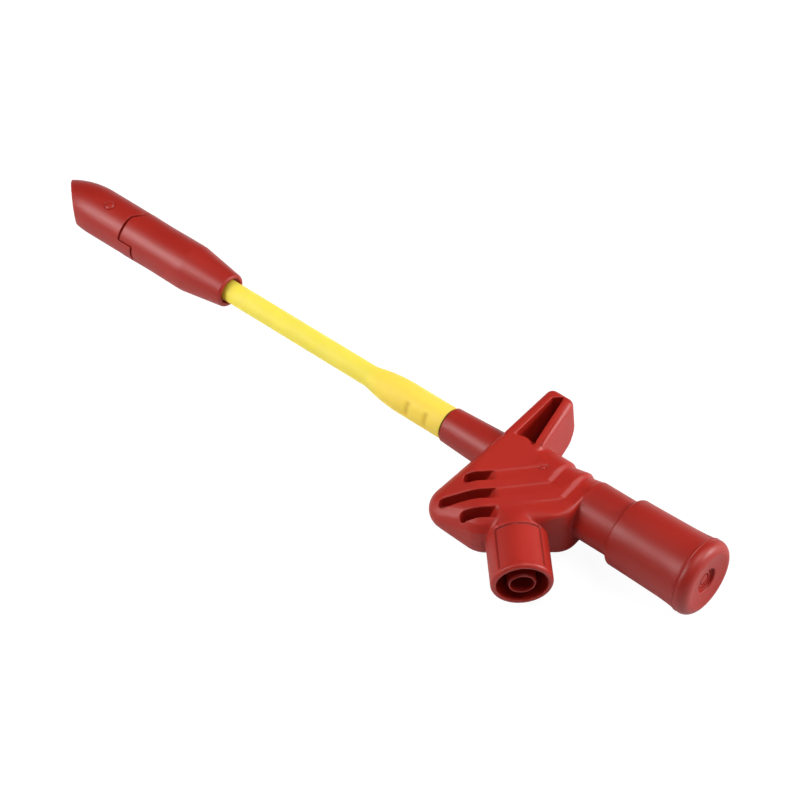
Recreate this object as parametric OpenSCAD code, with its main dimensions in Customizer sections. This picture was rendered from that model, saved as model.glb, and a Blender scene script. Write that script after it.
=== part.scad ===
// Grabber test hook: long flexible shaft, spring plunger, wire hook with a fixed needle,
// winged grip with a shrouded socket for a 4 mm plug. Millimetres, +X towards the hook,
// +Y towards the socket, +Z up, origin under the middle of the part as it lies on a table.

/* [Plunger] */
// Diameter of the neck that the cap slides over
neck_d = 11.4; // [10.4:0.1:13]
// Radial gap between neck and cap
cap_gap = 0.2; // [0.1:0.05:0.4]
// Wall of the cap around the neck
cap_wall = 0.85; // [0.7:0.05:1.6]
// Length of the cap from its front edge to its end face
cap_len = 18.6; // [17:0.1:26]
// Rounding of the cap's front edge
cap_edge = 0.6; // [0.2:0.05:0.65]
// Growth of the cap's radius from its front to its flare
cap_taper = 0.25; // [0:0.05:0.5]
// How far the end flange stands out past the cap
flange_lip = 0.5; // [0.2:0.05:1.5]
// Length of the flare from the cap to the flange
flare_len = 4.2; // [3:0.1:7]
// Rounding of the flange's rim
rim_r = 1.9; // [1:0.05:2.3]
// Thickness of the cap's end wall
end_wall = 3; // [2.6:0.1:4]
// Diameter of the round recess in the end face
recess_d = 4.9; // [4:0.1:6]
// Depth of the recess
recess_depth = 1; // [0.6:0.1:1.4]
// Travel of the plunger and of the hook
travel = 6; // [4:0.1:7]
// Neck left in sight when the plunger is pressed
neck_spare = 2; // [0.4:0.1:3]

/* [Push rod] */
// Diameter of the push rod
rod_d = 3; // [2.4:0.1:3.4]
// Radial running fit of the rod in its bush
rod_fit = 0.05; // [0.02:0.01:0.1]
// Wall of the neck around the spring
neck_wall = 1.5; // [1.2:0.1:2]
// Length of the guide bush in the grip
bush_len = 4; // [3:0.1:5]
// Wall of the guide bush
bush_wall = 1.2; // [0.8:0.1:1.4]
// Wire diameter of the return spring
spring_wire = 0.7; // [0.4:0.05:0.9]
// Turns of the return spring
spring_turns = 8; // [5:1:11]
// Thickness of the retaining clip
clip_t = 0.6; // [0.4:0.1:1]
// Length of the coupling between rod and cable
coupling_len = 6.4; // [5:0.1:7]
// Diameter of the push cable
cable_d = 1.2; // [0.8:0.1:1.4]

/* [Grip] */
// Length of the body ahead of the reference point
body_front = 11.6; // [11.2:0.1:13]
// Length of the body behind the reference point
body_rear = 10; // [9.5:0.1:13]
// Half height of the flat body
body_h = 5.6; // [5.3:0.05:6.2]
// Half height of the slotted wing's thin tip
wing_h = 3.5; // [3:0.1:4.5]
// Front of the slotted wing's tip ahead of the reference point
wing_front = 15.2; // [13:0.1:16]
// Reach of the slotted wing
wing_reach = 19.5; // [18:0.1:21]
// Reach of the hollow wing
hollow_reach = 15.5; // [13:0.1:18]
// Width of the hollow wing's tip along the shaft line
hollow_tip = 6.1; // [5.6:0.1:7]
// Rounding of the hollow wing's lower corner
hollow_heel = 6.6; // [4:0.1:7.6]
// Wall of the hollow wing
hollow_wall = 1.4; // [1:0.1:1.8]
// Width of the finger slots
slot_w = 2; // [1.2:0.1:2.4]
// Spacing of the finger slots
slot_pitch = 4.05; // [3.6:0.05:4.3]
// Angle of the finger slots to the shaft line
slot_angle = 40; // [36:1:46]
// Length of the ramp at the inner end of a slot
slot_ramp = 3; // [2:0.1:4]
// Height of the steps over the body's back
step_h = 0.55; // [0.3:0.05:0.7]
// Height of the faint steps that run from the slots
crease_h = 0.15; // [0.05:0.05:0.3]
// Distance from the reference point to the front of the stem
stem_reach = 23.6; // [22:0.1:28]
// Diameter of the stem's front end
stem_front_d = 7.1; // [6.6:0.1:8]
// Diameter of the stem where it leaves the body
stem_root_d = 8.6; // [8:0.1:9]

/* [Socket] */
// Angle of the socket to the shaft line
socket_angle = 45; // [42:1:48]
// Where the socket line crosses the shaft line
socket_cross = 10.05; // [9:0.05:11]
// Distance from the shaft line to the mouth of the socket
socket_reach = 29.3; // [28:0.1:32]
// Outer diameter of the socket shell
shell_d = 11.5; // [11:0.1:12]
// Inner diameter of the socket shell
shroud_d = 9.5; // [9:0.1:9.8]
// Depth of the shrouded hole
shroud_depth = 16; // [14:0.1:17]
// Length of the shell that stands out of the body
shell_show = 9.6; // [8:0.1:12]
// Outer diameter of the inner collar
collar_d = 5.3; // [5.3:0.05:5.8]
// Depth of the collar's front below the mouth
collar_drop = 0.2; // [0:0.1:2]
// Bore of the contact for the plug
plug_bore = 4.04; // [4:0.01:4.1]
// Length of the contact's bore
plug_depth = 9.5; // [8:0.1:10]

/* [Shaft] */
// Diameter of the flexible sleeve
tube_d = 4.35; // [4.1:0.05:4.8]
// Length of the slim part of the sleeve in sight
tube_show = 36.5; // [30:0.5:60]
// Length of the cone between the slim part and the collar
cone_len = 8.3; // [5:0.1:12]
// Length of the thick bend relief
relief_len = 12.1; // [10:0.1:16]
// Diameter of the thick bend relief
relief_d = 6.55; // [6:0.05:6.6]
// Outer diameter of the metal conduit
conduit_d = 2.6; // [2.4:0.05:2.8]
// Wall of the metal conduit
conduit_wall = 0.35; // [0.25:0.05:0.4]

/* [Head] */
// Diameter of the head and of the hook
head_d = 10; // [9.6:0.1:11]
// Length of the head up to the seam
head_len = 25.4; // [23:0.1:30]
// Length of the head's tapered rear end
taper_len = 10.1; // [8:0.1:12]
// Diameter of the head's rear end
head_rear_d = 7.1; // [6.8:0.1:8]
// Wall of the head around its cavity
head_wall = 1.4; // [1.2:0.1:1.6]
// Length of the tongues ahead of the seam
tongue_len = 1.35; // [0.8:0.05:2]
// Gap of the seam between head and hook
seam_gap = 0.3; // [0.1:0.02:0.4]
// Diameter of the needle
needle_d = 0.9; // [0.6:0.05:1]
// How far the needle stands out past the tongues
needle_out = 2.5; // [1.5:0.1:3.2]

/* [Hook] */
// Length of the hook from the seam to its tip
hook_len = 21.7; // [20:0.1:28]
// Length of the hook's pointed front
ogive_len = 10.7; // [9:0.1:12]
// Radius of the curve of the pointed front
ogive_r = 22.5; // [20.5:0.5:30]
// Angle between the slant face's normal and the shaft line
slant_angle = 48.5; // [45:0.5:55]
// Length of the hook's nose behind the tongues' front
nose_len = 3.5; // [2.5:0.1:4]
// Width of the nose
nose_w = 3.6; // [2.6:0.1:4.2]
// Diameter of the shank in the hook
shank_d = 2; // [1.8:0.1:2.2]
// Diameter of the cross pin
pin_d = 1.4; // [1:0.1:1.5]
// Distance of the cross pin from the tongues' front
pin_in = 5.7; // [5:0.1:8]
// Lean of the cross pin about the shaft line
pin_lean = 5.5; // [0:0.5:20]
// Length of the bevel's legs at the hook's tip
tip_bevel = 1; // [0.3:0.1:1.4]

/* [Hidden] */
$fn = 64;
seat = 0.02;
clear = 0.35;
past = 1;
soft_fn = 32;

// Stations along the shaft line, from the plunger's end face to the hook's tip
cap_front_x = -body_rear - travel - neck_spare;
cap_end_x = cap_front_x - cap_len;
cap_floor_x = cap_end_x + end_wall;
neck_end_x = cap_floor_x + travel + clear;
bush_x = -body_rear + 1 - bush_len;
clip_x = bush_x + bush_len + seat;
chamber_front_x = socket_cross;
terminal_flange = 1.2;
coupling_front_x = chamber_front_x - terminal_flange - travel - clear;
head_rear_x = stem_reach + relief_len + cone_len + tube_show;
seam_x = head_rear_x + head_len;
tongue_x = seam_x + tongue_len;
tip_x = seam_x + hook_len;

// Plunger and rod radii
cap_in_r = neck_d / 2 + cap_gap;
cap_r = cap_in_r + cap_wall;
flare_r = cap_r + cap_taper;
flange_r = flare_r + flange_lip;
pocket_r = neck_d / 2 - neck_wall;
bush_in_r = rod_d / 2 + rod_fit;
bush_r = bush_in_r + bush_wall;
bush_flange_r = pocket_r - seat;
bush_flange_t = 1;
washer_t = 0.5;
plug_t = 0.6;
spring_coil_r = (rod_d / 2 + pocket_r) / 2;
spring_rear_x = cap_floor_x + washer_t + spring_wire / 2 + seat;
spring_front_x = bush_x - bush_flange_t - spring_wire / 2 - seat;
groove_r = rod_d / 2 - 0.35;
clip_r = rod_d / 2 + 1.3;
coupling_r = rod_d / 2 + 0.6;
coupling_rear_x = coupling_front_x - coupling_len;
rod_front_x = coupling_rear_x + coupling_len / 2;
chamber_r = 4.2;

// Socket line: distances are measured from the shaft line outwards
socket_dir = [-cos(socket_angle), sin(socket_angle), 0];
shroud_floor = socket_reach - shroud_depth;
shell_root = socket_reach - shell_show;
shell_base = shell_root - 4.2;
panel_angle = 96;
panel_turn = 128;
panel_drop = 0.22;
panel_rim = 1.1;
panel_root = 0.4;
panel_line = 0.35;
collar_base_t = 2;
collar_ease = 0.4;
collar_top = socket_reach - collar_drop;
contact_wall = 0.35;
contact_r = plug_bore / 2 + contact_wall;
contact_floor_t = 1;
contact_base = shroud_floor - collar_base_t;
contact_top = contact_base + contact_floor_t + plug_depth;
stud_r = 0.9;
stud_end = chamber_r + 4;
passage_r = stud_r + 0.3;
lead_r = 0.5;
lead_off = (coupling_r + clear + chamber_r) / 2;
lead_turn = lead_off / sin(socket_angle);

// Shaft and head radii
conduit_in_r = conduit_d / 2 - conduit_wall;
terminal_r = conduit_d / 2 + 0.6;
spigot_r = tube_d / 2;
spigot_len = 4.5;
terminal_front_x = stem_reach - spigot_len - seat;
cavity_r = head_d / 2 - head_wall;
shoulder_x = head_rear_x + taper_len - 2.4;
ferrule_t = 2.5;
carrier_x = shoulder_x + ferrule_t + seat;
carrier_len = 10;
carrier_flat = shank_d / 2 + clear;
needle_y = (carrier_flat + cavity_r) / 2;
shank_rear_x = carrier_x + 2.5;
cable_front_x = shank_rear_x + 4;
cable_rear_x = rod_front_x + 0.2;
shank_front_x = tongue_x + pin_in + 3;
nose_in_r = cavity_r + 0.3;
seam_slope = 0.26;
pin_sink = head_d / 2 - 0.35;

// Bevelled tip of the hook: the bevel takes as much off the back as off the slant face
back_angle = asin(ogive_len / ogive_r);
back_edge = tip_bevel * [-cos(back_angle), -sin(back_angle)];
slant_edge = tip_bevel * [-sin(slant_angle), cos(slant_angle)];
tip_back = -slant_edge[0];

// Finger slots, steps and creases: each slot's inner end lies on a crease at 45 degrees
crease_dir = 45;
slot_inner = 9.1;
slot_first = -0.2;
slot_lengths = [6.4, 11.4, 7.8];
slot_floor = 0.7;
wing_flare = 2.2;
step_first_x = -2.85;
step_pitch = 4.2;
step_ramp = 3.2;
step_wall = 0.9;
crease_ramp = 2.4;

// Middle of the part as it lies, from its outermost surfaces
mouth_round = 0.7;
socket_y_max = (socket_reach - mouth_round) * sin(socket_angle)
    + (shell_d / 2 - mouth_round) * cos(socket_angle) + mouth_round;
mid_x = (tip_x - tip_back + cap_end_x) / 2;
mid_y = (socket_y_max - hollow_reach) / 2;

// Points of an arc about a centre
function arc(cx, cy, r, a0, a1, n = 8) =
    [for (i = [0:n]) [cx + r * cos(a0 + (a1 - a0) * i / n), cy + r * sin(a0 + (a1 - a0) * i / n)]];

// Moves a piece from the shaft line's frame to the part's frame
module placed() { translate([-mid_x, -mid_y, flange_r]) children(); }

// Solid of revolution about the shaft line; each point is a station and a radius
module turned(points) {
    rotate([0, 90, 0]) rotate_extrude() polygon([for (p = points) [p[1], p[0]]]);
}

// Round bar, bore or cone along the shaft line
module bar(x0, x1, r0, r1 = -1) {
    translate([x0, 0, 0]) rotate([0, 90, 0]) cylinder(h = x1 - x0, r1 = r0, r2 = r1 < 0 ? r0 : r1);
}

// Puts a piece on the socket line, with its z axis pointing out of the mouth
module on_socket() {
    translate([socket_cross, 0, 0]) rotate([0, 0, 180 - socket_angle]) rotate([0, 90, 0]) children();
}

// Rounded disc that the wings are hulled from
module puck(x, y, r, h, e) {
    translate([x, y, 0]) for (s = [-1, 1]) translate([0, 0, s * (h - e)])
        rotate_extrude($fn = soft_fn) polygon(concat([[0, -e]], arc(r - e, 0, e, -90, 90), [[0, e]]));
}

// Flat body between the fingers with the slotted wing, which thins towards its tip
module wing_form() {
    tip_r = 5;
    rear_r = 4.5;
    front_r = 2;
    edge = 0.8;
    front_y = 7.2;
    hull() {
        translate([wing_front - tip_r, wing_reach - tip_r, 0]) scale([1, 1, wing_h / tip_r])
            sphere(tip_r, $fn = soft_fn);
        puck(tip_r - 1.2, wing_reach - tip_r - 0.5, tip_r, body_h - 0.2, 4.4);
        puck(rear_r - body_rear, 5, rear_r, body_h, edge);
        for (y = [0, front_y]) puck(body_front - front_r, y, front_r, body_h, edge);
        bar(0.4 - body_rear, body_front - edge, body_h);
    }
}

// Hollow wing on the other side, flush with the body
module hollow_form() {
    corner = 1.6;
    edge = 0.8;
    tip_edge = 1.4;
    rear_x = body_front - hollow_tip;
    difference() {
        hull() {
            for (x = [body_front - corner, rear_x + corner])
                puck(x, corner - hollow_reach, corner, body_h - 0.1, tip_edge);
            puck(body_front - corner, -2, corner, body_h, edge);
            puck(rear_x + corner - wing_flare, -2, corner, body_h, edge);
        }
        difference() {
            translate([0, -hollow_reach - past, -body_h - past])
                cube([body_front + past, hollow_heel + past, hollow_heel + past]);
            translate([0, hollow_heel - hollow_reach, hollow_heel - body_h])
                bar(-past, body_front + 2 * past, hollow_heel);
        }
    }
}

// Deep pocket in the hollow wing between its front wall and the leaning rear wall; the wall of
// the chamber and a round boss close its root, and a fine slit parts the rear wall from the tip
module hollow_pocket() {
    cut = 0.9;
    slit = 0.75;
    root_y = -1;
    top = body_h + past;
    floor_z = hollow_wall - body_h;
    front_x = body_front - 1.5 * hollow_wall;
    rear_x = body_front - hollow_tip + 1.4 * hollow_wall;
    root_x = rear_x - wing_flare;
    end_y = hollow_wall - hollow_reach;
    boss_r = (front_x - root_x) / 2 + 0.3;
    difference() {
        intersection() {
            translate([0, 0, floor_z]) linear_extrude(top - floor_z) polygon([[front_x, root_y],
                [front_x, end_y + cut], [front_x - cut, end_y], [rear_x + slit / 2, end_y - slit],
                [rear_x, end_y + slit], [root_x, 2 * root_y - cut], [root_x, root_y]]);
            rotate([90, 0, 90]) linear_extrude(body_front) polygon(concat([[0, top], [-hollow_reach, top]],
                arc(hollow_heel - hollow_reach, hollow_heel - body_h, hollow_heel - hollow_wall, 180, 270),
                [[0, floor_z]]));
        }
        bar(-body_rear, body_front, chamber_r + 1);
        translate([(front_x + root_x) / 2, -slit, 0]) cylinder(h = top + past, r = boss_r);
    }
}

// Finger slot: a ramp at its inner end, then an even floor to its round outer end
module finger_slot(length) {
    top = body_h + past;
    drop = body_h - slot_floor;
    translate([0, slot_w, 0]) rotate([90, 0, 0]) linear_extrude(slot_w) polygon(concat([[0, top]],
        [for (i = [0:6]) [slot_ramp * i / 6, body_h - drop * (1 - cos(15 * i))]],
        [[length - slot_w / 2, slot_floor], [length - slot_w / 2, top]]));
    translate([length - slot_w / 2, slot_w / 2, slot_floor]) cylinder(h = top - slot_floor, d = slot_w);
}

// Step over the body's back: a long ramp that ends in a short steep one. It follows the flat
// of the body up to turn_y on the socket's side, and turns about the shaft line on the other
module body_step(x, turn_y) {
    top = neck_d / 2 + past;
    low = neck_d / 2 - step_h;
    steep_x = x + step_wall * (top - low) / step_h;
    side = [[x, low], [steep_x, top], [x - step_ramp, top], [x - step_ramp, neck_d / 2]];
    intersection() {
        turned(side);
        translate([x - step_ramp - past, -2 * top, -top]) cube([step_ramp + top, 2 * top, 2 * top]);
    }
    for (s = [0, 1]) mirror([0, 0, s]) translate([0, turn_y, 0]) rotate([90, 0, 0])
        linear_extrude(turn_y + seat) polygon(side);
}

// Faint step along the body from a slot's inner end to where the step over the back begins
module crease(q, from_p, to_p) {
    translate([from_p, q, 0]) rotate([90, 0, 90]) linear_extrude(to_p - from_p)
        polygon([[0, body_h - crease_h], [0, body_h + past], [crease_ramp, body_h + past],
            [crease_ramp, body_h]]);
}

// Window in the socket shell's skin, between two angles and two distances along the socket line
module shell_window(drop, a0, a1, d0, d1) {
    translate([0, 0, d0]) rotate([0, 0, a0]) rotate_extrude(angle = a1 - a0)
        translate([shell_d / 2 - drop, 0]) square([past, d1 - d0]);
}

// Everything of the grip's outside
module grip_form() {
    wing_form();
    hollow_form();
    bar(neck_end_x, 2, neck_d / 2);
    bar(body_front - 4, stem_reach, stem_root_d / 2, stem_front_d / 2);
    on_socket() {
        translate([0, 0, shell_base]) cylinder(h = socket_reach - mouth_round - shell_base, d = shell_d);
        rotate_extrude() polygon(concat([[0, socket_reach - 2]], [[shell_d / 2, socket_reach - 2]],
            arc(shell_d / 2 - mouth_round, socket_reach - mouth_round, mouth_round, 0, 90),
            [[0, socket_reach]]));
    }
}

// Everything that is cut out of the grip
module grip_cuts() {
    for (s = [0, 1]) mirror([0, 0, s]) {
        rotate([0, 0, crease_dir]) for (k = [0:2]) {
            q = slot_first + k * slot_pitch;
            translate([slot_inner, q, 0]) rotate([0, 0, slot_angle - crease_dir])
                finger_slot(slot_lengths[k]);
            crease(q, -0.2 - k * 0.9, slot_inner + 0.3);
        }
    }
    hollow_pocket();
    for (k = [0, 1]) {
        x = step_first_x - k * step_pitch;
        body_step(x, x + (slot_first + (k + 1) * slot_pitch) * sqrt(2));
    }
    bar(neck_end_x - past, bush_x, pocket_r);
    bar(bush_x - past, -body_rear + 2, bush_r + seat);
    bar(-body_rear + 1, chamber_front_x, chamber_r);
    bar(chamber_front_x - past, stem_reach, terminal_r + seat);
    bar(terminal_front_x, stem_reach + past, spigot_r + seat);
    on_socket() {
        translate([0, 0, chamber_r - past]) cylinder(h = shroud_floor, r = passage_r);
        translate([0, 0, contact_base]) cylinder(h = shroud_depth, r = collar_d / 2 + seat);
        translate([0, 0, shroud_floor]) cylinder(h = shroud_depth + past, d = shroud_d);
        panel_low = shell_root - panel_root;
        panel_high = socket_reach - panel_rim;
        panel_end = panel_turn + panel_angle;
        line_angle = panel_line / shell_d * 360 / PI;
        shell_window(panel_drop, panel_turn, panel_end, panel_low, panel_high);
        shell_window(2 * panel_drop, panel_turn, panel_turn + line_angle, panel_low, panel_high);
        shell_window(2 * panel_drop, panel_end - line_angle, panel_end, panel_low, panel_high);
        shell_window(2 * panel_drop, panel_turn, panel_end, panel_low, panel_low + panel_line);
    }
}

module grip_body() {
    color("firebrick") placed() difference() {
        grip_form();
        grip_cuts();
    }
}

module socket_collar() {
    tip = 0.5;
    color("firebrick") placed() on_socket() difference() {
        rotate_extrude() polygon([[0, contact_base], [collar_d / 2, contact_base],
            [collar_d / 2, collar_top - tip], [collar_d / 2 - tip / 2, collar_top], [0, collar_top]]);
        translate([0, 0, contact_base - past])
            cylinder(h = contact_top + past - contact_base, r = contact_r + seat);
        translate([0, 0, contact_base]) cylinder(h = socket_reach, d = plug_bore + collar_ease);
    }
}

module socket_contact() {
    color("goldenrod") placed() on_socket() difference() {
        union() {
            translate([0, 0, contact_base + seat])
                cylinder(h = contact_top - contact_base - 2 * seat, r = contact_r);
            translate([0, 0, stud_end])
                cylinder(h = contact_base + contact_floor_t - stud_end, r = stud_r);
        }
        translate([0, 0, contact_base + contact_floor_t]) cylinder(h = contact_top, d = plug_bore);
    }
}

module contact_lead() {
    bend = 1.2;
    setback = bend * tan(socket_angle / 2);
    corner = [socket_cross, 0, 0] + lead_turn * socket_dir;
    straight = lead_turn * cos(socket_angle) - terminal_flange - seat - setback;
    color("peru") placed() {
        on_socket() translate([0, 0, lead_turn + setback])
            cylinder(h = stud_end - lead_turn - setback - seat, r = lead_r);
        translate(corner + [setback, bend, 0]) rotate([0, 0, -90 - socket_angle])
            rotate_extrude(angle = socket_angle) translate([bend, 0]) circle(lead_r);
        translate(corner + [setback, 0, 0]) rotate([0, 90, 0]) cylinder(h = straight, r = lead_r);
    }
}

module shaft_terminal() {
    color("goldenrod") placed() difference() {
        union() {
            bar(chamber_front_x - terminal_flange, chamber_front_x - seat, chamber_r - seat);
            bar(chamber_front_x - terminal_flange, terminal_front_x, terminal_r);
        }
        bar(chamber_front_x - past - terminal_flange, stem_reach, conduit_in_r);
        bar(chamber_front_x, stem_reach, conduit_d / 2 + seat);
    }
}

module shaft_conduit() {
    color("silver") placed() difference() {
        bar(chamber_front_x + seat, shoulder_x + ferrule_t, conduit_d / 2);
        bar(chamber_front_x - past, shoulder_x + ferrule_t + past, conduit_in_r);
    }
}

module shaft_sleeve() {
    relief_x = stem_reach + relief_len;
    notch_r = 0.7;
    notch_drop = 0.15;
    color("gold") placed() difference() {
        turned([[terminal_front_x + seat, 0], [terminal_front_x + seat, spigot_r],
            [stem_reach + seat, spigot_r], [stem_reach + seat, relief_d / 2], [relief_x, relief_d / 2],
            [relief_x + cone_len, tube_d / 2], [shoulder_x - seat, tube_d / 2], [shoulder_x - seat, 0]]);
        bar(chamber_front_x, shoulder_x + past, conduit_d / 2 + seat);
        for (x = [0.3, 0.67])
            translate([relief_x - x * relief_len, relief_d / 2 + notch_r - notch_drop, -past])
                cylinder(h = 2.4 * past, r = notch_r);
    }
}

// Region ahead of the seam, which belongs to the hook; grow widens it by the seam's gap
module hook_region(grow) {
    far = hook_len + 2 * past;
    wide = head_d;
    translate([0, 0, -wide]) linear_extrude(2 * wide) polygon([[tongue_x - grow, wide],
        [tongue_x - grow, seam_slope], [seam_x - grow, seam_slope - tongue_len * 1.3],
        [seam_x - grow, -wide], [seam_x + far, -wide], [seam_x + far, wide]]);
    translate([tongue_x - nose_len - grow, nose_in_r - grow, -nose_w / 2 - grow])
        cube([nose_len + past, wide, nose_w + 2 * grow]);
}

module head_sleeve() {
    waist = 0.1;
    waist_in = 9.4;
    rim = 0.5;
    tip_r = head_rear_d / 2;
    taper_x = head_rear_x + taper_len;
    color("firebrick") placed() difference() {
        turned(concat([[head_rear_x, 0]], arc(head_rear_x + rim, tip_r - rim, rim, 180, 90),
            [[taper_x, head_d / 2 - 0.05], [taper_x + 1, head_d / 2 - 0.02],
            [taper_x + waist_in, head_d / 2 - waist], [seam_x, head_d / 2], [tongue_x, head_d / 2],
            [tongue_x, 0]]));
        bar(head_rear_x - past, shoulder_x + past, tube_d / 2 + seat);
        bar(head_rear_x - past, head_rear_x + 0.9, tube_d / 2 + 0.5);
        bar(shoulder_x, tongue_x + past, cavity_r);
        hook_region(seam_gap);
    }
}

module head_ferrule() {
    color("goldenrod") placed() difference() {
        bar(shoulder_x + seat, shoulder_x + ferrule_t, cavity_r - seat);
        bar(shoulder_x - past, shoulder_x + ferrule_t + past, conduit_d / 2 + seat);
    }
}

module needle_carrier() {
    color("goldenrod") placed() difference() {
        intersection() {
            bar(carrier_x, carrier_x + carrier_len, cavity_r - seat);
            translate([carrier_x - past, carrier_flat, -head_d])
                cube([carrier_len + 2 * past, head_d, 2 * head_d]);
        }
        translate([0, needle_y, 0]) bar(carrier_x + 3, carrier_x + carrier_len + past, needle_d / 2 + seat);
    }
}

module piercing_needle() {
    point = 2.2;
    end_x = tongue_x + needle_out;
    color("lightgray") placed() translate([0, needle_y, 0]) {
        bar(carrier_x + 3 + seat, end_x - point, needle_d / 2);
        bar(end_x - point, end_x, needle_d / 2, 0.05);
    }
}

module guide_bush() {
    color("goldenrod") placed() difference() {
        union() {
            bar(bush_x - bush_flange_t, bush_x - seat, bush_flange_r);
            bar(bush_x - bush_flange_t, bush_x + bush_len, bush_r);
        }
        bar(bush_x - bush_flange_t - past, bush_x + bush_len + past, bush_in_r);
    }
}

module plunger_cap() {
    lip_x = cap_end_x + 1.5 * rim_r;
    rim_sweep = 105;
    color("firebrick") placed() difference() {
        turned(concat([[cap_end_x, 0]],
            arc(cap_end_x + rim_r, flange_r - rim_r, rim_r, 180, 180 - rim_sweep),
            [[lip_x + flare_len * 0.35, flare_r + flange_lip * 0.36], [lip_x + flare_len, flare_r]],
            arc(cap_front_x - cap_edge, cap_r - cap_edge, cap_edge, 90, 0), [[cap_front_x, 0]]));
        bar(cap_floor_x, cap_front_x + past, cap_in_r);
        bar(cap_end_x - past, cap_end_x + recess_depth + plug_t, recess_d / 2);
        bar(cap_end_x, cap_floor_x + past, rod_d / 2 + seat);
    }
}

module cap_plug() {
    color("firebrick") placed() difference() {
        bar(cap_end_x + recess_depth, cap_end_x + recess_depth + plug_t - seat, recess_d / 2 - seat);
        for (r = [1.1, 1.8]) difference() {
            bar(cap_end_x, cap_end_x + recess_depth + 0.2, r + 0.15);
            bar(cap_end_x - past, cap_end_x + recess_depth + past, r - 0.15);
        }
    }
}

module push_rod() {
    color("silver") placed() difference() {
        bar(cap_end_x + recess_depth + plug_t, rod_front_x, rod_d / 2);
        difference() {
            bar(clip_x, clip_x + clip_t + 2 * seat, rod_d);
            bar(clip_x - past, clip_x + clip_t + past, groove_r);
        }
    }
}

module retaining_clip() {
    color("dimgray") placed() translate([clip_x + seat, 0, 0]) rotate([90, 0, 90])
        linear_extrude(clip_t) difference() {
            circle(clip_r);
            circle(groove_r + seat);
            translate([-groove_r * 0.8, 0]) square([groove_r * 1.6, 2 * clip_r]);
        }
}

module rod_coupling() {
    color("silver") placed() difference() {
        bar(coupling_rear_x, coupling_front_x, coupling_r);
        bar(coupling_rear_x - past, rod_front_x + seat, rod_d / 2 + seat);
        bar(rod_front_x, coupling_front_x + past, cable_d / 2 + seat);
    }
}

module push_cable() {
    color("slategray") placed() bar(cable_rear_x, cable_front_x, cable_d / 2);
}

// Puts a piece on the line of the cross pin, which leans a little towards the nose
module on_pin() { translate([tongue_x + pin_in, 0, 0]) rotate([-pin_lean, 0, 0]) children(); }

module hook_shank() {
    color("silver") placed() difference() {
        bar(shank_rear_x, shank_front_x, shank_d / 2);
        bar(shank_rear_x - past, cable_front_x + seat, cable_d / 2 + seat);
        on_pin() translate([0, 0, -shank_d]) cylinder(h = 2 * shank_d, d = pin_d + 2 * seat);
    }
}

module hook_pin() {
    color("firebrick") placed() on_pin() translate([0, 0, 0.1 - head_d / 2])
        cylinder(h = head_d - 0.2, d = pin_d);
}

module hook_jaw() {
    front_x = tip_x - ogive_len;
    drop = ogive_r - sqrt(ogive_r * ogive_r - ogive_len * ogive_len);
    color("firebrick") placed() difference() {
        intersection() {
            turned(concat([[tongue_x - nose_len, 0], [tongue_x - nose_len, head_d / 2 - 0.05]],
                arc(front_x, head_d / 2 - ogive_r, ogive_r, 90, 90 - back_angle, 10), [[tip_x, 0]]));
            hook_region(0);
        }
        translate([tip_x, drop - head_d / 2, 0]) {
            rotate([0, 0, slant_angle]) translate([0, -hook_len, -head_d])
                cube([hook_len, 2 * hook_len, 2 * head_d]);
            linear_extrude(2 * head_d, center = true) polygon([slant_edge, 2 * slant_edge - back_edge,
                -slant_edge - back_edge, 2 * back_edge - slant_edge, back_edge]);
        }
        bar(seam_x - past, shank_front_x + seat, shank_d / 2 + seat);
        translate([0, needle_y, 0]) bar(seam_x - past, tongue_x + needle_out + 0.6, needle_d / 2 + clear);
        on_pin() {
            translate([0, 0, -head_d]) cylinder(h = 2 * head_d, d = pin_d + 2 * seat);
            for (z = [-head_d - pin_sink, pin_sink]) translate([0, 0, z])
                cylinder(h = head_d, d = pin_d * 1.6);
        }
    }
}

module spring_washer() {
    color("silver") placed() difference() {
        bar(cap_floor_x + seat, cap_floor_x + washer_t, spring_coil_r + spring_wire);
        bar(cap_floor_x - past, cap_floor_x + washer_t + past, rod_d / 2 + seat);
    }
}

// Compression spring with closed ends, swept ring by ring
module return_spring() {
    per_turn = 18;
    sides = 8;
    rings = spring_turns * per_turn;
    length = spring_front_x - spring_rear_x;
    dead = spring_wire * 1.05;
    open_turns = spring_turns - 2;
    function rise(t) = t < 1 ? dead * t : t > spring_turns - 1 ? length - dead * (spring_turns - t)
        : dead + (length - 2 * dead) * (t - 1) / open_turns;
    function ring(i) = [for (j = [0:sides - 1]) let (t = i / per_turn, a = 360 * t, b = 360 * j / sides,
        r = spring_coil_r + spring_wire / 2 * cos(b))
        [spring_rear_x + rise(t) + spring_wire / 2 * sin(b), r * cos(a), r * sin(a)]];
    color("lightsteelblue") placed() polyhedron(
        points = [for (i = [0:rings]) each ring(i)],
        faces = concat([[for (j = [0:sides - 1]) j]],
            [for (i = [0:rings - 1], j = [0:sides - 1]) let (k = (j + 1) % sides)
                [i * sides + j, (i + 1) * sides + j, (i + 1) * sides + k, i * sides + k]],
            [[for (j = [sides - 1:-1:0]) rings * sides + j]]));
}

grip_body();
socket_collar();
socket_contact();
contact_lead();
shaft_terminal();
shaft_conduit();
shaft_sleeve();
head_sleeve();
head_ferrule();
needle_carrier();
piercing_needle();
guide_bush();
plunger_cap();
cap_plug();
push_rod();
retaining_clip();
rod_coupling();
push_cable();
hook_shank();
hook_pin();
hook_jaw();
spring_washer();
return_spring();
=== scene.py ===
import math
import bmesh
import bpy
import numpy
from mathutils import Matrix, Vector


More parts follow.
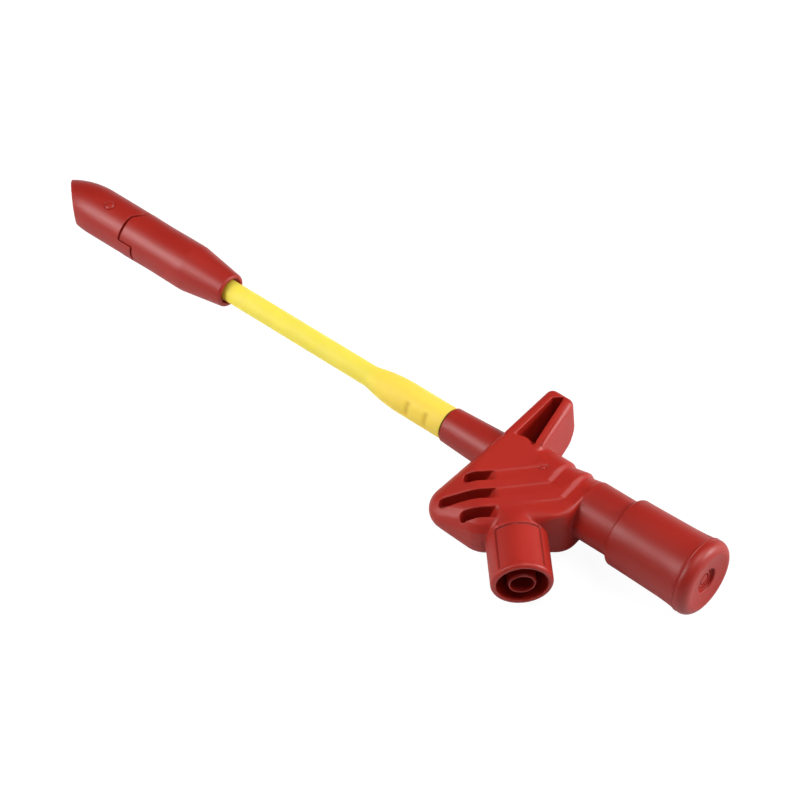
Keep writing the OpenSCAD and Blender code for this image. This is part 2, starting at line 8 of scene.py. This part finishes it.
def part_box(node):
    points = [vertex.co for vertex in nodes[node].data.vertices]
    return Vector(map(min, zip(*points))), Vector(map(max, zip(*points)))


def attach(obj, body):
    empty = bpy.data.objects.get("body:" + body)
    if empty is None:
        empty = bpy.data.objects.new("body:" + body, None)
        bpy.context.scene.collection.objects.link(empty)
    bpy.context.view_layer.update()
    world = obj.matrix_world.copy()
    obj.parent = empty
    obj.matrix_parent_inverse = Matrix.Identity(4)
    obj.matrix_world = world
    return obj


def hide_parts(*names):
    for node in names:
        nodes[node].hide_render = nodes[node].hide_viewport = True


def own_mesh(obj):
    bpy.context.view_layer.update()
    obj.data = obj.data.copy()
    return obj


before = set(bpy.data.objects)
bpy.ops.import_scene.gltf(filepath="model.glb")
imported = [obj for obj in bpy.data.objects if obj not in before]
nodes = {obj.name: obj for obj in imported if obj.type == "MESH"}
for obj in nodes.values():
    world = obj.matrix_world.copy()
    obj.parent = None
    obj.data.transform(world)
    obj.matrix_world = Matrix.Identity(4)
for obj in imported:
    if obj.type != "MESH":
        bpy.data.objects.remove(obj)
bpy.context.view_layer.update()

MM = 0.001
CAP_TO_MIDDLE = 36.6  # millimetres from the cap's end to the grip's middle

# The shaft line runs along X through the middle of the push cable.
cable_low, cable_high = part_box("push_cable")
LINE_Y = (cable_low.y + cable_high.y) / 2
LINE_Z = (cable_low.z + cable_high.z) / 2
CAP_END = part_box("plunger_cap")[0].x
STEM_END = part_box("grip_body")[1].x


def at(x, y=0.0, z=0.0):
    """Place in metres of a point in millimetres on the shaft line's axes, from the grip's middle."""
    return Vector((CAP_END + (x + CAP_TO_MIDDLE) * MM, LINE_Y + y * MM, LINE_Z + z * MM))


def colour(red, green, blue):
    """Screen colour from 0 to 255 as the linear colour that a shader takes."""
    def linear(value):
        value /= 255
        return value / 12.92 if value <= 0.04045 else ((value + 0.055) / 1.055) ** 2.4
    return linear(red), linear(green), linear(blue), 1.0


class Wire:
    """An output socket in a finish; arithmetic on it adds Math nodes."""

    def __init__(self, finish, socket):
        self.finish = finish
        self.socket = socket

    def math(self, operation, first, second):
        return self.finish.node("ShaderNodeMath", {"operation": operation}, {0: first, 1: second})

    def __add__(self, other):
        return self.math("ADD", self, other)

    def __radd__(self, other):
        return self.math("ADD", other, self)

    def __sub__(self, other):
        return self.math("SUBTRACT", self, other)

    def __mul__(self, other):
        return self.math("MULTIPLY", self, other)


class Finish:
    """A material with one Principled surface that wires feed."""

    def __init__(self, name):
        self.material = bpy.data.materials.new(name)
        self.material.use_nodes = True
        self.tree = self.material.node_tree
        self.surface = self.tree.nodes["Principled BSDF"]

    def node(self, kind, settings=None, inputs=None, output=0):
        made = self.tree.nodes.new(kind)
        for key, value in (settings or {}).items():
            setattr(made, key, value)
        for key, value in (inputs or {}).items():
            self.feed(made.inputs[key], value)
        return Wire(self, made.outputs[output])

    def feed(self, socket, value):
        if isinstance(value, Wire):
            self.tree.links.new(value.socket, socket)
        else:
            socket.default_value = value

    def paint(self, **inputs):
        for key, value in inputs.items():
            self.feed(self.surface.inputs[key.replace("_", " ")], value)

    def place(self, stretch=(1, 1, 1)):
        """Object coordinates, drawn out along an axis where stretch is below 1."""
        spot = self.node("ShaderNodeTexCoord", output="Object")
        return self.node("ShaderNodeMapping", inputs={"Vector": spot, "Scale": stretch})

    def noise(self, spot, size, detail=2.0, rough=0.5):
        """Cloudy pattern with blotches of about that size in metres."""
        return self.node("ShaderNodeTexNoise", inputs={
            "Vector": spot, "Scale": 1 / size, "Detail": detail, "Roughness": rough})

    def step(self, value, low, high):
        """Goes from 0 to 1 as value goes from low to high."""
        return self.node("ShaderNodeMapRange", inputs={0: value, 1: low, 2: high, 3: 0.0, 4: 1.0})

    def axis(self, spot, index):
        """One coordinate of a place: 0 for X, 1 for Y."""
        return self.node("ShaderNodeSeparateXYZ", inputs={0: spot}, output=index)

    def mix(self, share, first, second):
        return self.node("ShaderNodeMix", {"data_type": "RGBA"}, {0: share, 6: first, 7: second}, 2)

    def bump(self, height, depth, strength=1.0):
        return self.node("ShaderNodeBump", inputs={
            "Strength": strength, "Distance": depth, "Height": height})


def red_finish(name, edges=False, body=False):
    """Satin red plastic from a spark-eroded mould; edges paints highlights on the raised edges and
    shade in the corners, from the bend that the mouldings carry, and body paints light on the grip's body
    and wings, lighter than its neck and stem."""
    f = Finish(name)
    spot = f.place()
    drift = f.noise(spot, 14 * MM, 3)
    speck = f.noise(spot, 0.5 * MM, 4, 0.6)
    grain = f.noise(spot, 0.13 * MM, 2)
    drifting = f.step(drift, 0.3, 0.7)
    tone = f.mix(drifting, colour(148, 25, 14), colour(155, 28, 16))
    if body:
        # Painted light: the body and socket are painted lighter than the neck and stem of the same moulding
        along = f.axis(spot, 0)
        trunk = f.step(along, at(-11).x, at(-8.5).x) * f.step(along, at(13.5).x, at(11.5).x)
        wing = f.step(f.axis(spot, 1), at(0, 6.5).y, at(0, 8).y)
        painted_light_share = f.node("ShaderNodeMath", {"operation": "MAXIMUM"}, {0: trunk, 1: wing})
        tone = f.mix(painted_light_share, tone, f.mix(drifting, colour(161, 28, 16), colour(169, 32, 18)))
    tone = f.mix(f.step(speck, 0.62, 0.8) * 0.2, tone, colour(180, 52, 42))
    gloss = 0.38 + drift * 0.06 + speck * 0.08
    if edges:
        bend = f.node("ShaderNodeAttribute", {"attribute_name": "bend"}, output="Fac")
        # Painted highlight along the raised edges and painted shade in the corners, from the bend
        painted_edge_highlight = f.step(bend, 0.25, 1.0)
        hollow = f.step(bend, -0.2, -0.9)
        tone = f.mix(painted_edge_highlight * 0.2, tone, colour(192, 62, 50))
        tone = f.mix(hollow * 0.7, tone, colour(84, 11, 9))
        gloss = gloss + hollow * 0.08 - painted_edge_highlight * 0.04
    f.paint(Base_Color=tone, Roughness=gloss, IOR=1.46,
            Normal=f.bump(grain * 0.6 + speck * 0.8 + drift * 2.0, 0.012 * MM, 0.6))
    return f.material


def yellow_finish(name):
    """Soft yellow plastic with faint draw lines along the shaft, warmer at the bend relief, and painted
    shade in its dents and in the gap where it meets the stem."""
    f = Finish(name)
    spot = f.place()
    drift = f.noise(spot, 9 * MM, 3)
    drawn = f.noise(f.place((0.03, 1, 1)), 0.35 * MM, 2)
    grain = f.noise(spot, 0.2 * MM, 2)
    dust = f.noise(spot, 1.6 * MM, 4, 0.65)
    tone = f.mix(f.step(drift, 0.3, 0.7), colour(236, 211, 72), colour(240, 217, 86))
    tone = f.mix(f.step(dust, 0.66, 0.85) * 0.3, tone, colour(222, 188, 60))
    along = f.axis(spot, 0)
    tone = f.mix(f.step(along, STEM_END + 20 * MM, STEM_END + 14 * MM) * 0.5, tone, colour(241, 200, 74))
    # Painted shade in the dents
    dent = f.node("ShaderNodeAttribute", {"attribute_name": "dent"}, output="Fac")
    tone = f.mix(dent * 0.45, tone, colour(196, 148, 48))
    # Painted shade: the sleeve is painted near black in the gap where it meets the stem
    painted_joint_shade = f.step(along, STEM_END + 0.42 * MM, STEM_END + 0.3 * MM)
    tone = f.mix(painted_joint_shade * 0.9, tone, colour(60, 26, 8))
    f.paint(Base_Color=tone, Roughness=0.5 + drift * 0.08 + drawn * 0.05, IOR=1.42,
            Normal=f.bump(drawn + grain * 0.5, 0.01 * MM, 0.5),
            Subsurface_Weight=0.6, Subsurface_Radius=(1.0, 0.85, 0.35), Subsurface_Scale=0.0025)
    return f.material


def metal_finish(name, bright, dull, rough, lines=(1, 1, 1)):
    """Drawn or turned metal: fine lines, a little tarnish."""
    f = Finish(name)
    spot = f.place()
    tarnish = f.noise(spot, 2.5 * MM, 4, 0.6)
    turned = f.noise(f.place(lines), 0.12 * MM, 2)
    tone = f.mix(f.step(tarnish, 0.4, 0.75), bright, dull)
    f.paint(Base_Color=tone, Metallic=1.0, Roughness=rough + tarnish * 0.14 + turned * 0.08,
            Normal=f.bump(turned, 0.006 * MM, 0.5))
    return f.material


def new_object(name, data):
    """Puts an object in the scene."""
    made = bpy.data.objects.new(name, data)
    bpy.context.scene.collection.objects.link(made)
    return made


def new_mesh(name, shape):
    """Turns a finished bmesh into a mesh."""
    mesh = bpy.data.meshes.new(name)
    shape.to_mesh(mesh)
    shape.free()
    return mesh


def coat(mesh, finish):
    """Gives a whole mesh one finish."""
    mesh.materials.clear()
    mesh.materials.append(finish)


def shade_smooth(mesh):
    """Shades every face of the mesh smooth."""
    mesh.polygons.foreach_set("use_smooth", [True] * len(mesh.polygons))


def piece(name, mesh, body, finish, slot, *stands_for):
    """Puts a finished mesh in the scene on its body, for the CAD nodes that it stands for."""
    made = new_object(name, mesh)
    coat(mesh, finish)
    shade_smooth(mesh)
    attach(made, body)
    if stands_for:
        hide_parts(*stands_for)
    return made


def places(mesh):
    """The mesh's points as rows."""
    flat = numpy.empty(len(mesh.vertices) * 3)
    mesh.vertices.foreach_get("co", flat)
    return flat.reshape(-1, 3)


def point_normals(mesh):
    """The normals at the mesh's points as rows."""
    flat = numpy.empty(len(mesh.vertices) * 3)
    mesh.vertex_normals.foreach_get("vector", flat)
    return flat.reshape(-1, 3)


def nearness(spots, start, along, stations, slack=0.12):
    """How close points lie to a round surface, from 0 to 1, with their feet on its line, their arms
    from there and the radius there. Stations are distances from the start and radii in millimetres."""
    start = numpy.array(start)
    along = numpy.array(along)
    far = (spots - start) @ along
    foot = start + far[:, None] * along
    arm = spots - foot
    reach = numpy.linalg.norm(arm, axis=1)
    stops, radii = zip(*stations)
    want = numpy.interp(far / MM, stops, radii) * MM
    share = numpy.clip(2 - 2 * abs(reach - want) / (slack * MM), 0, 1)
    share *= (far > stops[0] * MM) & (far < stops[-1] * MM)
    slope = numpy.interp(far / MM + 0.1, stops, radii) - numpy.interp(far / MM - 0.1, stops, radii)
    lean = arm / numpy.maximum(reach, 1e-9)[:, None] - 5 * slope[:, None] * along
    return share, foot, arm, want / numpy.maximum(reach, 1e-9), lean


def trued(mesh, round_faces):
    """Draws points that lie close to a round surface onto it."""
    for face in round_faces:
        share, foot, arm, grown, _ = nearness(places(mesh), *face)
        spots = foot + arm * (1 + share * (grown - 1))[:, None]
        mesh.vertices.foreach_set("co", spots.ravel())
    mesh.update()


def round_normals(mesh, round_faces):
    """Gives points on a round surface that surface's normals, so that thinned triangles don't show."""
    normals = point_normals(mesh)
    for face in round_faces:
        share, _, _, _, lean = nearness(places(mesh), *face)
        lean /= numpy.linalg.norm(lean, axis=1)[:, None]
        cosine = (normals * lean).sum(axis=1)
        lean *= numpy.sign(cosine)[:, None]
        share *= numpy.clip((abs(cosine) - 0.94) / 0.04, 0, 1)
        normals += share[:, None] * (lean - normals)
        normals /= numpy.maximum(numpy.linalg.norm(normals, axis=1), 1e-9)[:, None]
    mesh.normals_split_custom_set_from_vertices(normals)


SEAM_X = 107  # millimetres from the grip's middle to the seam between head and hook
SEAM_REACH = 6  # millimetres that the seam's steps reach to either side of that


def drawn_back(mesh, depth):
    """Sinks the walls of head and hook along their seam, so that it shows as a dark line."""
    spots = places(mesh)
    normals = point_normals(mesh)
    arms = (spots - numpy.array(at(0))) * (0, 1, 1)
    reach = numpy.linalg.norm(arms, axis=1)
    upright = abs((normals * arms).sum(axis=1)) / numpy.maximum(reach, 1e-9)
    wall = numpy.clip((0.85 - upright) / 0.3, 0, 1)
    outer = numpy.clip((reach / MM - 2.6) / 0.6, 0, 1)
    share = wall * outer * (abs(spots[:, 0] - at(SEAM_X).x) < SEAM_REACH * MM)
    mesh.vertices.foreach_set("co", (spots - normals * (share * depth)[:, None]).ravel())
    mesh.update()


BLEND_STEPS = 50  # weights are rounded to this many steps
RING_GAP = 2.4  # millimetres between cuts across a round surface
FULL_BEND = 0.03 * MM  # sinking that counts as a full edge


def ringed(mesh, round_faces):
    """Cuts the long triangles that thinning leaves on a round surface, so that its ends don't shade it."""
    shape = bmesh.new()
    shape.from_mesh(mesh)
    for start, along, stations in round_faces:
        first, last = stations[0][0], stations[-1][0]
        reach = (max(radius for _, radius in stations) + 0.3) * MM
        geom = [face for face in shape.faces if first < (face.verts[0].co - start).dot(along) / MM < last
                and (face.verts[0].co - start).cross(along).length < reach]
        geom += {edge for face in geom for edge in face.edges}
        for stop in numpy.arange(first + RING_GAP / 2, last - 1, RING_GAP):
            geom = bmesh.ops.bisect_plane(shape, geom=geom, plane_co=start + along * float(stop) * MM,
                                          plane_no=along, dist=1e-6)["geom"]
    bmesh.ops.triangulate(shape, faces=shape.faces)
    shape.to_mesh(mesh)
    shape.free()


def store_bend(work):
    """Keeps on each point how far a little smoothing would sink it: over 0 on edges, under 0 in corners."""
    before = work.data
    spots = places(before)
    normals = point_normals(before)
    after = smoothed(work, 6)
    sunk = ((spots - places(after)) * normals).sum(axis=1)
    work.data = before
    bend = before.attributes.new("bend", "FLOAT", "POINT")
    bend.data.foreach_set("value", numpy.clip(sunk / FULL_BEND, -1, 1))


def smoothed(work, rounds, group=""):
    """Smooths the object's mesh, weighed by a group of points where one is named."""
    smooth = work.modifiers.new("smooth", "SMOOTH")
    smooth.factor = 0.5
    smooth.iterations = rounds
    smooth.vertex_group = group
    return settle(work)


def settle(work):
    """Applies the object's modifiers and gives the new mesh."""
    graph = bpy.context.evaluated_depsgraph_get()
    mesh = bpy.data.meshes.new_from_object(work.evaluated_get(graph))
    work.modifiers.clear()
    work.data = mesh
    return mesh


def moulded(node, voxel, rounds, triangles, round_faces=(), blend=None, blend_rounds=0, seam=0.0):
    """Copy of a CAD node's mesh with the soft edges of a moulding: remeshed finely, smoothed, and
    trued where it is round. The blend weighs points that are smoothed further, as in a fillet."""
    soft = bmesh.new()
    soft.from_mesh(nodes[node].data)
    bmesh.ops.remove_doubles(soft, verts=soft.verts, dist=1e-7)
    work = new_object("work", new_mesh(node, soft))
    remesh = work.modifiers.new("remesh", "REMESH")
    remesh.mode = "VOXEL"
    remesh.voxel_size = voxel
    mesh = smoothed(work, rounds)
    if blend:
        group = work.vertex_groups.new(name="blend")
        weights = numpy.round(blend(places(mesh)) * BLEND_STEPS) / BLEND_STEPS
        for weight in numpy.unique(weights[weights > 0]):
            group.add(numpy.nonzero(weights == weight)[0].tolist(), float(weight), "REPLACE")
        mesh = smoothed(work, blend_rounds, "blend")
        work.vertex_groups.clear()
    store_bend(work)
    mesh = work.data
    drawn_back(mesh, seam)
    trued(mesh, round_faces)
    mesh.calc_loop_triangles()
    if len(mesh.loop_triangles) > triangles:
        thin = work.modifiers.new("thin", "DECIMATE")
        thin.ratio = triangles / len(mesh.loop_triangles)
        mesh = settle(work)
    ringed(mesh, round_faces)
    trued(mesh, round_faces)
    shade_smooth(mesh)
    round_normals(mesh, round_faces)
    bpy.data.objects.remove(work)
    return mesh


def turned(name, profile, steps):
    """Solid of revolution about the shaft line; the profile is a closed loop of (x, radius) in metres."""
    shape = bmesh.new()
    loop = [shape.verts.new((x, LINE_Y, LINE_Z + r)) for x, r in profile]
    edges = [shape.edges.new((a, b)) for a, b in zip(loop, loop[1:] + loop[:1])]
    bmesh.ops.spin(shape, geom=loop + edges, cent=(0, LINE_Y, LINE_Z), axis=(1, 0, 0),
                   angle=2 * math.pi, steps=steps, use_merge=True)
    bmesh.ops.remove_doubles(shape, verts=shape.verts, dist=1e-7)
    bmesh.ops.recalc_face_normals(shape, faces=shape.faces)
    return new_mesh(name, shape)


def bow(x, r, radius, start, end, count=8):
    """Points of an arc in a profile, angles in degrees from the shaft line's direction."""
    angles = [math.radians(start + (end - start) * i / count) for i in range(count + 1)]
    return [(x + radius * math.cos(a), r + radius * math.sin(a)) for a in angles]


# Finishes
red_grip = red_finish("red_grip_moulding", True, True)
red_edges = red_finish("red_moulding_edges", True)
red_plain = red_finish("red_moulding")
yellow = yellow_finish("yellow_sleeve")
brass = metal_finish("turned_brass", colour(214, 176, 96), colour(160, 122, 58), 0.24, (0.05, 1, 1))
copper = metal_finish("bare_copper", colour(214, 132, 92), colour(150, 82, 54), 0.28)
steel = metal_finish("drawn_steel", colour(196, 198, 200), colour(140, 141, 144), 0.22, (0.05, 1, 1))

# Mouldings, with the lines and radii of their round faces
FORWARD = Vector((1, 0, 0))
SOCKET_OUT = Vector((-1, 1, 0)).normalized()
shaft_start = at(0)
socket_start = at(10.05)
NECK_R, SHELL_R, PANEL_R, SHROUD_R = 5.7, 5.75, 5.53, 4.75
grip_rounds = [
    (shaft_start, FORWARD, [(-27.3, NECK_R), (-9.5, NECK_R)]),
    (shaft_start, FORWARD, [(12, 4.094), (23.6, 3.55)]),
    (socket_start, SOCKET_OUT, [(18.6, SHELL_R), (28.7, SHELL_R)]),
    (socket_start, SOCKET_OUT, [(19, PANEL_R), (28, PANEL_R)]),
    (socket_start, SOCKET_OUT, [(13.4, SHROUD_R), (29, SHROUD_R)])]
head_stations = [(81, 3.55), (90.6, 4.95), (91.6, 4.98), (100, 4.9), (105.9, 5), (107.2, 5)]
head_rounds = [(shaft_start, FORWARD, head_stations)]
# The hook's nose curves in with a radius of 22.5 about a ring 17.5 beyond the shaft line.
ogive_steps = [0.35 * i for i in range(30)]
ogive = [(116.9 + step, math.sqrt(22.5 ** 2 - step ** 2) - 17.5) for step in ogive_steps]
hook_rounds = [(shaft_start, FORWARD, [(104, 4.95)] + ogive)]
EVERYWHERE = 0.06  # weight of the little smoothing that the whole grip gets
BOSS_R = 2.42  # radius of the boss in the hollow wing
BOSS_MIDDLE = at(7.38, -0.75)
ROOT_R = 6.0  # radius about the socket's line of the corner between its shell and the body


def fillets(spots):
    """Near 1 in the corner between socket shell and body and on the edge of the boss in the hollow wing,
    and little elsewhere, but 0 on the socket's panel with its fine lines."""
    start, along = numpy.array(socket_start), numpy.array(SOCKET_OUT)
    far = ((spots - start) @ along) / MM
    off = numpy.linalg.norm(spots - start - (far * MM)[:, None] * along, axis=1) / MM
    root = numpy.exp(-(off - ROOT_R) ** 2) * (off > 5.4)
    root *= numpy.clip((19.1 - far) / 1.2, 0, 1) * numpy.clip((far - 13.5) / 1.5, 0, 1)
    flat = spots - numpy.array(BOSS_MIDDLE)
    boss = numpy.exp(-((numpy.hypot(flat[:, 0], flat[:, 1]) / MM - BOSS_R) / 0.7) ** 2)
    boss *= (flat[:, 2] > 4 * MM) & (flat[:, 1] < -1.4 * MM)
    panel = (far > 18.2) & (far < 28.6) & (off > 5.0) & (flat[:, 2] > 0)
    return numpy.maximum(numpy.maximum(root, boss), numpy.where(panel, 0, EVERYWHERE))


def nose(spots):
    """Rises to 1 towards the tip of the hook."""
    return numpy.clip((spots[:, 0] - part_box("hook_jaw")[1].x) / MM + 1.6, 0, 1)


fine = 0.13 * MM
seam = 0.1 * MM
grip_mesh = moulded("grip_body", fine, rounds=3, triangles=150000, round_faces=grip_rounds,
                    blend=fillets, blend_rounds=90)
head_mesh = moulded("head_sleeve", fine, rounds=14, triangles=110000, round_faces=head_rounds, seam=seam)
hook_mesh = moulded("hook_jaw", fine, rounds=14, triangles=110000, round_faces=hook_rounds,
                    blend=nose, blend_rounds=40, seam=seam)
collar_mesh = moulded("socket_collar", fine * 0.7, rounds=6, triangles=60000)
piece("grip_moulding", grip_mesh, "grip", red_grip, "red_plastic", "grip_body")
piece("head_moulding", head_mesh, "grip", red_edges, "red_plastic", "head_sleeve")
piece("hook_moulding", hook_mesh, "plunger", red_edges, "red_plastic", "hook_jaw")
piece("socket_inner_collar", collar_mesh, "grip", red_edges, "red_plastic", "socket_collar")


def stud(name, first, last, radius, height=1.0):
    """Low round-ended bead between two points."""
    shape = bmesh.new()
    bmesh.ops.create_uvsphere(shape, u_segments=24, v_segments=15, radius=radius)
    run = last - first
    for vert in shape.verts:
        vert.co.x += math.copysign(run.length / 2, vert.co.x) if abs(vert.co.x) > 1e-9 else 0
        vert.co.z *= height
    turn = run.to_track_quat("X", "Z").to_matrix().to_4x4() if run.length else Matrix()
    bmesh.ops.transform(shape, matrix=Matrix.Translation((first + last) / 2) @ turn, verts=shape.verts)
    return piece(name, new_mesh(name, shape), "grip", red_grip, "red_plastic")


stud("wing_bead", at(6.0, -12.3, 5.12), at(3.85, -3.2, 5.5), 0.26 * MM)
stud("ridge_end_dot", at(0.34, 0.83, 5.58), at(0.34, 0.83, 5.58), 0.45 * MM, 0.45)

# Thumb cap, turned from its end face at the left of the profile
low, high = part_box("plunger_cap")
end, front = low.x, high.x
rim = (high.z - low.z) / 2
dish = 0.4 * MM
rod_hole = 1.55 * MM
recess_r = 2.45 * MM
recess_floor = end + 1.6 * MM
recess_lip = 0.25 * MM
rim_round = 1.9 * MM
skirt_floor = end + 3 * MM
skirt_r = 5.9 * MM
front_round = 0.6 * MM
cap_profile = [(recess_floor, rod_hole), (recess_floor, recess_r), (end + dish + recess_lip, recess_r)]
cap_profile += bow(end + dish + recess_lip, recess_r + recess_lip, recess_lip, 270, 190, 4)
cap_profile += [(end + dish * (1 - (r / 5.5) ** 2) / 0.76, r * MM)
                for r in (3, 3.5, 4, 4.4, 4.8, 5.1, 5.3, 5.42)]
cap_profile += bow(end + rim_round, rim - rim_round, rim_round, 176, 92, 14)
cap_profile += [(end + x * MM, rim - drop * MM) for x, drop in
                ((2.3, 0.04), (2.46, 0.11), (2.56, 0.0), (2.7, 0.0), (2.8, 0.15), (3.2, 0.19), (3.9, 0.27),
                 (4.8, 0.37), (5.8, 0.44), (7, 0.5), (10, 0.58), (14, 0.67))]
cap_profile += bow(front - front_round, rim - 1.35 * MM, front_round, 90, 0, 8)
cap_profile += [(front - 0.05 * MM, 5.95 * MM), (front - 0.2 * MM, skirt_r), (end + 3.2 * MM, skirt_r),
                (skirt_floor, 5.7 * MM), (skirt_floor, rod_hole)]
piece("thumb_cap", turned("thumb_cap", cap_profile, 144), "plunger", red_plain, "red_plastic", "plunger_cap")

# Flexible sleeve with its bend relief
low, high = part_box("shaft_sleeve")
thick = (high.z - low.z) / 2
slim = 2.175 * MM
bore = 1.33 * MM
joint_gap = 0.3 * MM
sleeve_profile = [(low.x, bore), (low.x, slim), (STEM_END + joint_gap, slim)]
sleeve_profile += bow(STEM_END + joint_gap + 0.15 * MM, thick - 0.15 * MM, 0.15 * MM, 180, 90, 4)
# From the stem, the relief keeps its thickness for 11 mm and then tapers to the slim tube.
relief_step = 0.3
relief = numpy.arange(0.9, 20.9, relief_step)
taper_stops = (0, 11, 12.2, 13.3, 14.6, 15.75, 16.9, 18.1, 19.1, 19.8)
taper_shares = (0, 0, 0.02, 0.09, 0.2, 0.34, 0.5, 0.71, 0.92, 1)
taper = numpy.interp(numpy.arange(0, 21.6, relief_step), taper_stops, taper_shares)
taper = numpy.convolve(taper, numpy.ones(5) / 5, "valid")
sleeve_profile += [(STEM_END + x * MM, thick + (slim - thick) * share) for x, share in zip(relief, taper)]
sleeve_profile += [(STEM_END + (21.2 + 3.2 * i) * MM, slim) for i in range(11)]
sleeve_profile += [(high.x, slim), (high.x, bore)]
sleeve = turned("sleeve", sleeve_profile, 96)
spots = places(sleeve)
arms = (spots - numpy.array(at(0))) * (0, 1, 1)
arms /= numpy.maximum(numpy.linalg.norm(arms, axis=1), 1e-9)[:, None]
# Two dents on the side towards the socket, a little above the middle
dent_side = (0, 0.9, 0.436)
flank = numpy.clip((arms @ dent_side - 0.86) / 0.1, 0, 1)
dent_spots = (27.6, 32.1)
dent_width = 0.5 * MM
dent_depth = 0.26 * MM
press = sum(flank * numpy.exp(-((spots[:, 0] - at(x).x) / dent_width) ** 2) for x in dent_spots)
spots -= arms * (dent_depth * press)[:, None]
sleeve.vertices.foreach_set("co", spots.ravel())
# The dents' share is kept for the yellow finish's painted shade in them
sleeve.attributes.new("dent", "FLOAT", "POINT").data.foreach_set("value", press)
piece("flexible_sleeve", sleeve, "grip", yellow, "yellow_plastic", "shaft_sleeve")

# Hook pin with a low round head at each end, on the pin's own leaning line
low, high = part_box("hook_pin")
middle = (low + high) / 2
pin_r = 1.1 * MM
pin_length = 10.5 * MM
pin_round = 0.62 * MM
lean = Matrix.Rotation(math.radians(-5.5), 4, "X")
shape = bmesh.new()
bmesh.ops.create_cone(shape, cap_ends=True, segments=48, radius1=pin_r, radius2=pin_r, depth=pin_length,
                      matrix=Matrix.Translation(middle) @ lean)
rims = [edge for edge in shape.edges if len(edge.link_faces) == 2
        and max(len(face.verts) for face in edge.link_faces) > 4]
bmesh.ops.bevel(shape, geom=rims, offset=pin_round, affect="EDGES", segments=6, profile=0.5, material=-1)
pin_mesh = new_mesh("hook_pin_heads", shape)
piece("hook_pin_heads", pin_mesh, "plunger", red_grip, "red_plastic", "hook_pin")

# Return spring, a copy of its CAD coil that moves with the plunger; the real one shortens towards its seat
# in the cap as the plunger goes in
low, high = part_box("return_spring")
coil = piece("coil_spring", nodes["return_spring"].data.copy(), "plunger", steel, "steel", "return_spring")
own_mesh(coil)

# CAD nodes that stay as they are
node_finishes = {
    red_plain: ("cap_plug",),
    brass: ("socket_contact", "shaft_terminal", "head_ferrule", "needle_carrier", "guide_bush"),
    steel: ("shaft_conduit", "piercing_needle", "push_rod", "retaining_clip", "rod_coupling", "push_cable",
            "hook_shank", "spring_washer"),
    copper: ("contact_lead",)}
for finish, names in node_finishes.items():
    for name in names:
        coat(nodes[name].data, finish)

# Floor of white paper, which the camera sees brighter than the part does, with the shadow kept
shape = bmesh.new()
bmesh.ops.create_grid(shape, x_segments=1, y_segments=1, size=3)
floor = new_object("floor", new_mesh("floor", shape))
paper = Finish("white_paper")
fibre = paper.noise(paper.place(), 3 * MM, 4)
paper.paint(Base_Color=paper.mix(fibre, colour(224, 224, 224), colour(230, 230, 230)), Roughness=0.9)
ray = paper.tree.nodes.new("ShaderNodeLightPath")
glow = paper.node("ShaderNodeEmission", inputs={"Color": (1, 1, 1, 1), "Strength": 1.15})
seen = Wire(paper, ray.outputs["Is Camera Ray"])
both = paper.node("ShaderNodeMixShader", inputs={0: seen * 0.82})
paper.tree.links.new(paper.surface.outputs[0], both.socket.node.inputs[1])
paper.tree.links.new(glow.socket, both.socket.node.inputs[2])
paper.tree.links.new(both.socket, paper.tree.nodes["Material Output"].inputs["Surface"])
floor.data.materials.append(paper.material)

# Light: a dim room that the camera sees as white, a low key lamp at the right of the picture, a wide
# one above, and two small ones at the left for the bright bands along the round pieces
world = bpy.data.worlds.new("white_room")
bpy.context.scene.world = world
world.use_nodes = True
tree = world.node_tree
sky = tree.nodes["Background"]
sky.inputs["Color"].default_value = (1, 1, 1, 1)
sky.inputs["Strength"].default_value = 0.12
white = tree.nodes.new("ShaderNodeBackground")
white.inputs["Strength"].default_value = 1.0
white.inputs["Color"].default_value = (1, 1, 1, 1)
ray = tree.nodes.new("ShaderNodeLightPath")
both = tree.nodes.new("ShaderNodeMixShader")
tree.links.new(ray.outputs["Is Camera Ray"], both.inputs[0])
tree.links.new(sky.outputs[0], both.inputs[1])
tree.links.new(white.outputs[0], both.inputs[2])
tree.links.new(both.outputs[0], tree.nodes["World Output"].inputs["Surface"])


def lamp(name, spot, size, watts, aim=(-0.02, 0, 0), spread=180):
    """Square soft lamp that points at the part, with its beam's spread in degrees."""
    light = bpy.data.lights.new(name, "AREA")
    light.size = size
    light.energy = watts
    light.spread = math.radians(spread)
    made = new_object(name, light)
    made.location = spot
    made.rotation_euler = (Vector(aim) - Vector(spot)).to_track_quat("-Z", "Y").to_euler()


lamp("key_softbox", (-0.52, -0.5, 0.25), 0.3, 5.2)
lamp("top_softbox", (-0.3, -0.2, 0.85), 0.5, 4.1)
lamp("band_softbox", (0.27, 0.34, 0.45), 0.16, 1.4)
lamp("head_softbox", (0.3, 0.28, 0.24), 0.16, 0.07, (0.06, 0, 0.007), 40)

# Camera, fitted to the photograph
camera_data = bpy.data.cameras.new("camera")
camera_data.lens = 126.85
camera_data.sensor_width = 36
camera_data.clip_start = 0.01
camera = new_object("camera", camera_data)
stand = at(-215.58, 238.38, 408.89)
aim = at(35.3275, 1.113)
turn = (aim - stand).to_track_quat("-Z", "Y").to_matrix() @ Matrix.Rotation(math.radians(-7.5536), 3, "Z")
camera.matrix_world = Matrix.Translation(stand) @ turn.to_4x4()
bpy.context.scene.camera = camera
bpy.context.scene.view_settings.view_transform = "Standard"
